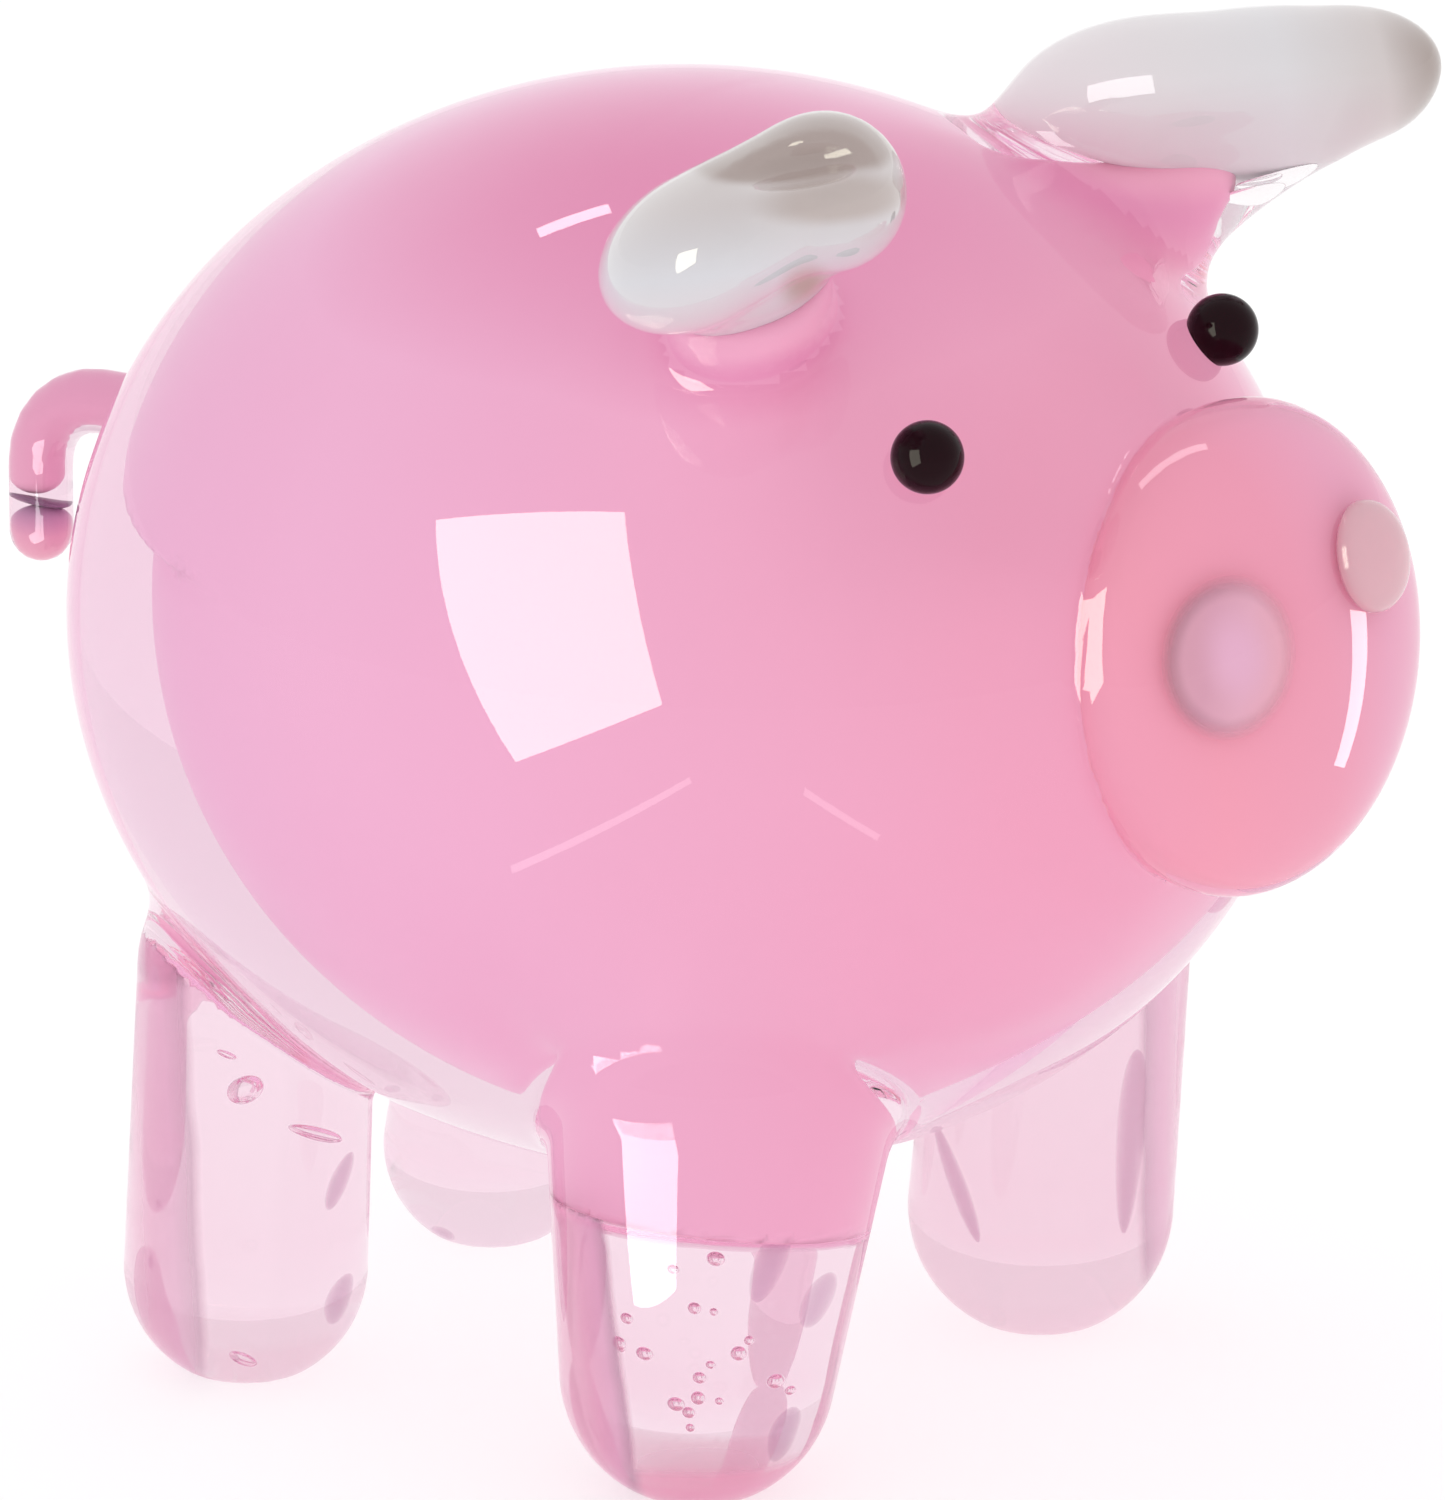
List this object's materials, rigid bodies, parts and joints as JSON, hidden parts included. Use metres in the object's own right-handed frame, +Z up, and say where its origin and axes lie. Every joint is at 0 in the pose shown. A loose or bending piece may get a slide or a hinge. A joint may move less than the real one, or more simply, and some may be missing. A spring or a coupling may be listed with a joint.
{
  "type": "pig figurine",
  "caption": "Small lampworked glass pig: opal rose glass cased in clear, with a snout, bead eyes, opal ears, stub legs and a bent tail melted on.",
  "frame": {"origin": "on the table, under the middle of the bounding box", "axes": "+Z up; the pig faces -Y, its left side is +X"},
  "size_m": [0.0292, 0.0392, 0.0374],
  "materials": {
    "clear_glass": "fire polished, clear with a faint rose tint",
    "rose_opal": "opal rose glass",
    "rose_glass": "fire polished, translucent rose",
    "pale_opal": "fire polished, pale rose opal",
    "white_opal": "fire polished, milky white opal",
    "black_glass": "fire polished, near-black"
  },
  "bodies": {
    "root": {"body_casing": "clear_glass", "body_core": "rose_opal", "snout_casing": "clear_glass", "snout_lens": "rose_opal", "nostril_right": "pale_opal", "nostril_left": "pale_opal", "eye_right": "black_glass", "eye_left": "black_glass", "ear_right": "white_opal", "ear_right_neck": "clear_glass", "ear_left": "white_opal", "ear_left_neck": "clear_glass", "leg_front_right": "clear_glass", "leg_front_left": "clear_glass", "leg_rear_right": "clear_glass", "leg_rear_left": "clear_glass", "tail": "rose_glass"}
  },
  "joints": []
}
